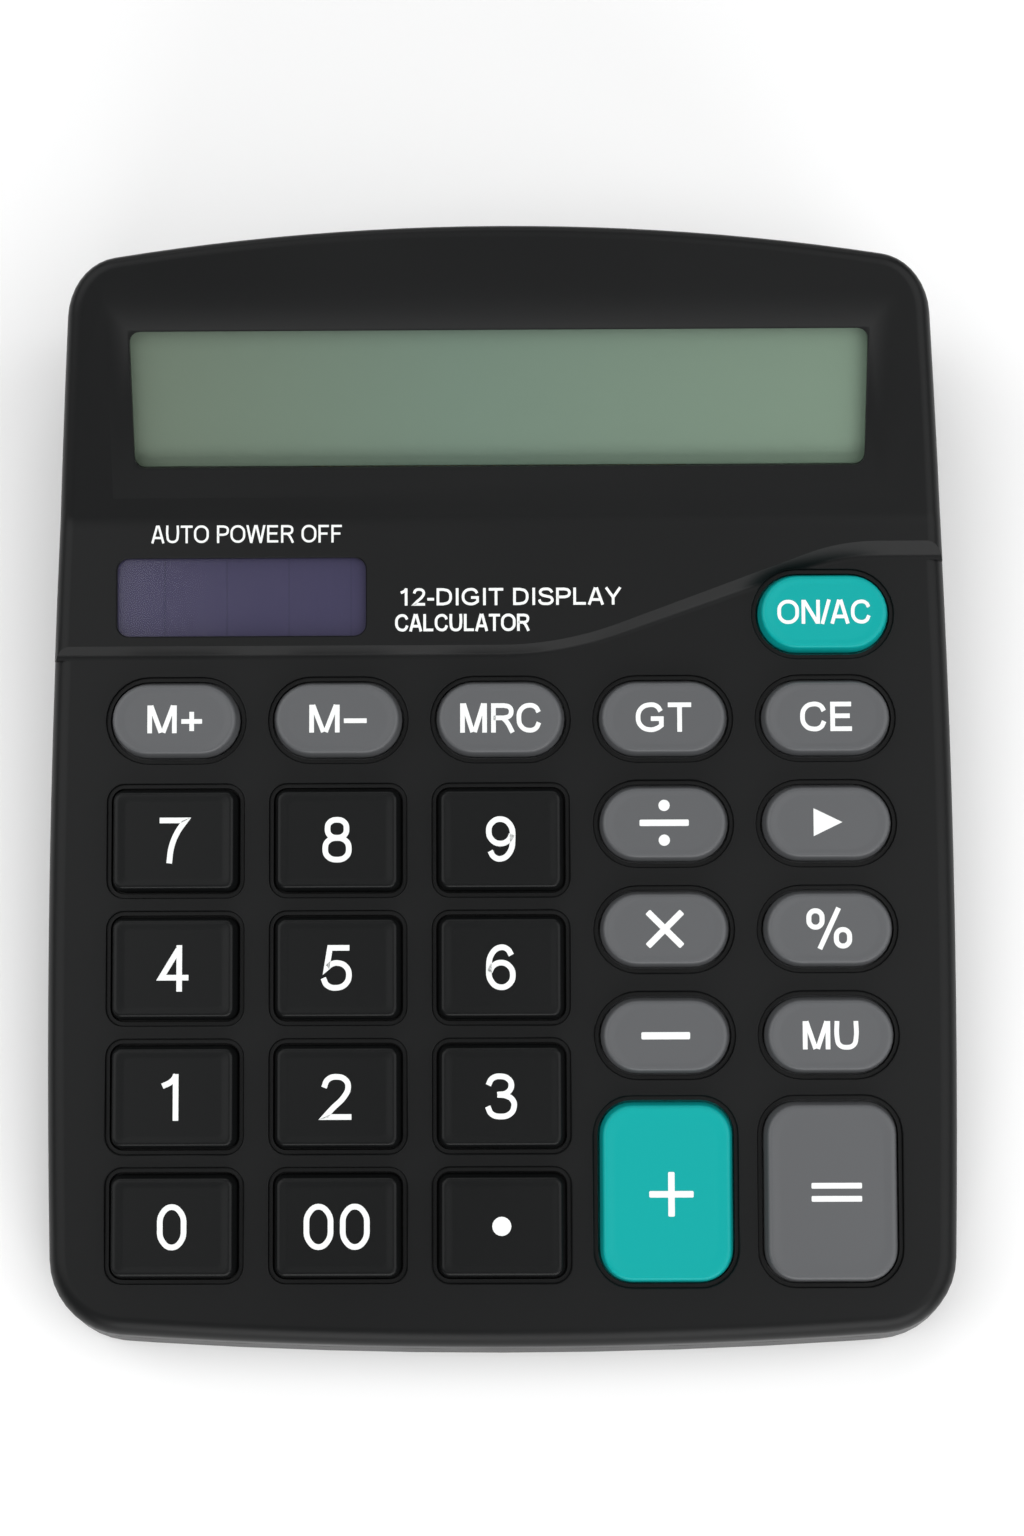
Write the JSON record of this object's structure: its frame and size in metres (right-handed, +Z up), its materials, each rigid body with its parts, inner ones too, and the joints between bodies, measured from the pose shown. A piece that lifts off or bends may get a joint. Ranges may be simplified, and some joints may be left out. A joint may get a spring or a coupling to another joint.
{
  "type": "desk calculator",
  "caption": "Wedge-shaped desk calculator with a raised display panel, a solar window, sprung rectangular, oval and tall keys, and a hinged battery door.",
  "frame": {"origin": "centre of the bounding box's footprint, on the table under the rubber feet", "axes": "+X to the user's right, +Y from the user to the rear of the case, +Z up"},
  "size_m": [0.1236, 0.1484, 0.0399],
  "materials": {
    "case_black": "fine-textured moulded ABS",
    "key_black": "smooth moulded ABS, semi-gloss",
    "key_grey": "smooth moulded ABS, semi-gloss, slightly translucent",
    "key_teal": "smooth moulded ABS, semi-gloss, slightly translucent",
    "legend_white": "printed white ink",
    "foot_rubber": "moulded rubber",
    "clear_window": "clear acrylic window",
    "lcd": "grey-green reflective liquid crystal panel",
    "holder_white": "moulded polystyrene",
    "ribbon": "polyimide film with conductive tracks",
    "solar_tint": "tinted clear acrylic cover",
    "solar_silicon": "amorphous silicon on glass",
    "silicone": "translucent silicone rubber",
    "board_green": "solder-masked circuit board",
    "epoxy": "black epoxy blob",
    "capacitor_sleeve": "shrink sleeve on an aluminium can",
    "cell_jacket": null,
    "contact_metal": "nickel-plated spring steel",
    "wire_red": "PVC insulation",
    "wire_black": "PVC insulation",
    "screw_steel": "zinc-plated steel"
  },
  "bodies": {
    "root": {"foot_front_left": "foot_rubber", "foot_front_right": "foot_rubber", "foot_rear_left": "foot_rubber", "foot_rear_right": "foot_rubber", "upper_case": "case_black", "lower_case": "case_black", "display_window": "clear_window", "lcd_glass": "lcd", "lcd_holder": "holder_white", "display_ribbon": "ribbon", "solar_window": "solar_tint", "solar_cell": "solar_silicon", "key_mat": "silicone", "main_board": "board_green", "chip_blob": "epoxy", "capacitor": "capacitor_sleeve", "battery_cell": "cell_jacket", "battery_spring": "contact_metal", "battery_plate": "contact_metal", "battery_lead_plus": "wire_red", "battery_lead_minus": "wire_black", "solar_lead_plus": "wire_red", "solar_lead_minus": "wire_black", "case_screws": "screw_steel", "board_screws": "screw_steel", "holder_screws": "screw_steel"},
    "key_on_ac_body": {"key_on_ac": "key_teal"},
    "key_m_plus_body": {"key_m_plus": "key_grey"},
    "key_m_minus_body": {"key_m_minus": "key_grey"},
    "key_mrc_body": {"key_mrc": "key_grey"},
    "key_gt_body": {"key_gt": "key_grey"},
    "key_ce_body": {"key_ce": "key_grey"},
    "key_7_body": {"key_7": "key_black"},
    "key_8_body": {"key_8": "key_black"},
    "key_9_body": {"key_9": "key_black"},
    "key_4_body": {"key_4": "key_black"},
    "key_5_body": {"key_5": "key_black"},
    "key_6_body": {"key_6": "key_black"},
    "key_1_body": {"key_1": "key_black"},
    "key_2_body": {"key_2": "key_black"},
    "key_3_body": {"key_3": "key_black"},
    "key_0_body": {"key_0": "key_black"},
    "key_00_body": {"key_00": "key_black"},
    "key_point_body": {"key_point": "key_black"},
    "key_divide_body": {"key_divide": "key_grey"},
    "key_back_body": {"key_back": "key_grey"},
    "key_multiply_body": {"key_multiply": "key_grey"},
    "key_percent_body": {"key_percent": "key_grey"},
    "key_minus_body": {"key_minus": "key_grey"},
    "key_mu_body": {"key_mu": "key_grey"},
    "key_plus_body": {"key_plus": "key_teal"},
    "key_equals_body": {"key_equals": "key_grey"},
    "battery_door_body": {"battery_door": "case_black", "door_latch": "case_black"}
  },
  "joints": [
    {"name": "key_on_ac_press", "type": "slide", "parent": "root", "child": "key_on_ac_body", "axis": [0, -0.0785, 0.9969], "range_m": [-0.0015, 0], "stiffness_N_per_m": 400, "springref_m": 0.0003, "deforming": ["key_mat"]},
    {"name": "key_m_plus_press", "type": "slide", "parent": "root", "child": "key_m_plus_body", "axis": [0, -0.0785, 0.9969], "range_m": [-0.0015, 0], "stiffness_N_per_m": 400, "springref_m": 0.0003, "deforming": ["key_mat"]},
    {"name": "key_m_minus_press", "type": "slide", "parent": "root", "child": "key_m_minus_body", "axis": [0, -0.0785, 0.9969], "range_m": [-0.0015, 0], "stiffness_N_per_m": 400, "springref_m": 0.0003, "deforming": ["key_mat"]},
    {"name": "key_mrc_press", "type": "slide", "parent": "root", "child": "key_mrc_body", "axis": [0, -0.0785, 0.9969], "range_m": [-0.0015, 0], "stiffness_N_per_m": 400, "springref_m": 0.0003, "deforming": ["key_mat"]},
    {"name": "key_gt_press", "type": "slide", "parent": "root", "child": "key_gt_body", "axis": [0, -0.0785, 0.9969], "range_m": [-0.0015, 0], "stiffness_N_per_m": 400, "springref_m": 0.0003, "deforming": ["key_mat"]},
    {"name": "key_ce_press", "type": "slide", "parent": "root", "child": "key_ce_body", "axis": [0, -0.0785, 0.9969], "range_m": [-0.0015, 0], "stiffness_N_per_m": 400, "springref_m": 0.0003, "deforming": ["key_mat"]},
    {"name": "key_7_press", "type": "slide", "parent": "root", "child": "key_7_body", "axis": [0, -0.0785, 0.9969], "range_m": [-0.0015, 0], "stiffness_N_per_m": 400, "springref_m": 0.0003, "deforming": ["key_mat"]},
    {"name": "key_8_press", "type": "slide", "parent": "root", "child": "key_8_body", "axis": [0, -0.0785, 0.9969], "range_m": [-0.0015, 0], "stiffness_N_per_m": 400, "springref_m": 0.0003, "deforming": ["key_mat"]},
    {"name": "key_9_press", "type": "slide", "parent": "root", "child": "key_9_body", "axis": [0, -0.0785, 0.9969], "range_m": [-0.0015, 0], "stiffness_N_per_m": 400, "springref_m": 0.0003, "deforming": ["key_mat"]},
    {"name": "key_4_press", "type": "slide", "parent": "root", "child": "key_4_body", "axis": [0, -0.0785, 0.9969], "range_m": [-0.0015, 0], "stiffness_N_per_m": 400, "springref_m": 0.0003, "deforming": ["key_mat"]},
    {"name": "key_5_press", "type": "slide", "parent": "root", "child": "key_5_body", "axis": [0, -0.0785, 0.9969], "range_m": [-0.0015, 0], "stiffness_N_per_m": 400, "springref_m": 0.0003, "deforming": ["key_mat"]},
    {"name": "key_6_press", "type": "slide", "parent": "root", "child": "key_6_body", "axis": [0, -0.0785, 0.9969], "range_m": [-0.0015, 0], "stiffness_N_per_m": 400, "springref_m": 0.0003, "deforming": ["key_mat"]},
    {"name": "key_1_press", "type": "slide", "parent": "root", "child": "key_1_body", "axis": [0, -0.0785, 0.9969], "range_m": [-0.0015, 0], "stiffness_N_per_m": 400, "springref_m": 0.0003, "deforming": ["key_mat"]},
    {"name": "key_2_press", "type": "slide", "parent": "root", "child": "key_2_body", "axis": [0, -0.0785, 0.9969], "range_m": [-0.0015, 0], "stiffness_N_per_m": 400, "springref_m": 0.0003, "deforming": ["key_mat"]},
    {"name": "key_3_press", "type": "slide", "parent": "root", "child": "key_3_body", "axis": [0, -0.0785, 0.9969], "range_m": [-0.0015, 0], "stiffness_N_per_m": 400, "springref_m": 0.0003, "deforming": ["key_mat"]},
    {"name": "key_0_press", "type": "slide", "parent": "root", "child": "key_0_body", "axis": [0, -0.0785, 0.9969], "range_m": [-0.0015, 0], "stiffness_N_per_m": 400, "springref_m": 0.0003, "deforming": ["key_mat"]},
    {"name": "key_00_press", "type": "slide", "parent": "root", "child": "key_00_body", "axis": [0, -0.0785, 0.9969], "range_m": [-0.0015, 0], "stiffness_N_per_m": 400, "springref_m": 0.0003, "deforming": ["key_mat"]},
    {"name": "key_point_press", "type": "slide", "parent": "root", "child": "key_point_body", "axis": [0, -0.0785, 0.9969], "range_m": [-0.0015, 0], "stiffness_N_per_m": 400, "springref_m": 0.0003, "deforming": ["key_mat"]},
    {"name": "key_divide_press", "type": "slide", "parent": "root", "child": "key_divide_body", "axis": [0, -0.0785, 0.9969], "range_m": [-0.0015, 0], "stiffness_N_per_m": 400, "springref_m": 0.0003, "deforming": ["key_mat"]},
    {"name": "key_back_press", "type": "slide", "parent": "root", "child": "key_back_body", "axis": [0, -0.0785, 0.9969], "range_m": [-0.0015, 0], "stiffness_N_per_m": 400, "springref_m": 0.0003, "deforming": ["key_mat"]},
    {"name": "key_multiply_press", "type": "slide", "parent": "root", "child": "key_multiply_body", "axis": [0, -0.0785, 0.9969], "range_m": [-0.0015, 0], "stiffness_N_per_m": 400, "springref_m": 0.0003, "deforming": ["key_mat"]},
    {"name": "key_percent_press", "type": "slide", "parent": "root", "child": "key_percent_body", "axis": [0, -0.0785, 0.9969], "range_m": [-0.0015, 0], "stiffness_N_per_m": 400, "springref_m": 0.0003, "deforming": ["key_mat"]},
    {"name": "key_minus_press", "type": "slide", "parent": "root", "child": "key_minus_body", "axis": [0, -0.0785, 0.9969], "range_m": [-0.0015, 0], "stiffness_N_per_m": 400, "springref_m": 0.0003, "deforming": ["key_mat"]},
    {"name": "key_mu_press", "type": "slide", "parent": "root", "child": "key_mu_body", "axis": [0, -0.0785, 0.9969], "range_m": [-0.0015, 0], "stiffness_N_per_m": 400, "springref_m": 0.0003, "deforming": ["key_mat"]},
    {"name": "key_plus_press", "type": "slide", "parent": "root", "child": "key_plus_body", "axis": [0, -0.0785, 0.9969], "range_m": [-0.0015, 0], "stiffness_N_per_m": 400, "springref_m": 0.0003, "deforming": ["key_mat"]},
    {"name": "key_equals_press", "type": "slide", "parent": "root", "child": "key_equals_body", "axis": [0, -0.0785, 0.9969], "range_m": [-0.0015, 0], "stiffness_N_per_m": 400, "springref_m": 0.0003, "deforming": ["key_mat"]},
    {"name": "battery_door_hinge", "type": "hinge", "parent": "root", "child": "battery_door_body", "pos_m": [0, 0.0489, 0.0025], "axis": [-1, 0, 0], "range_deg": [0, 80], "deforming": ["door_latch"]}
  ]
}
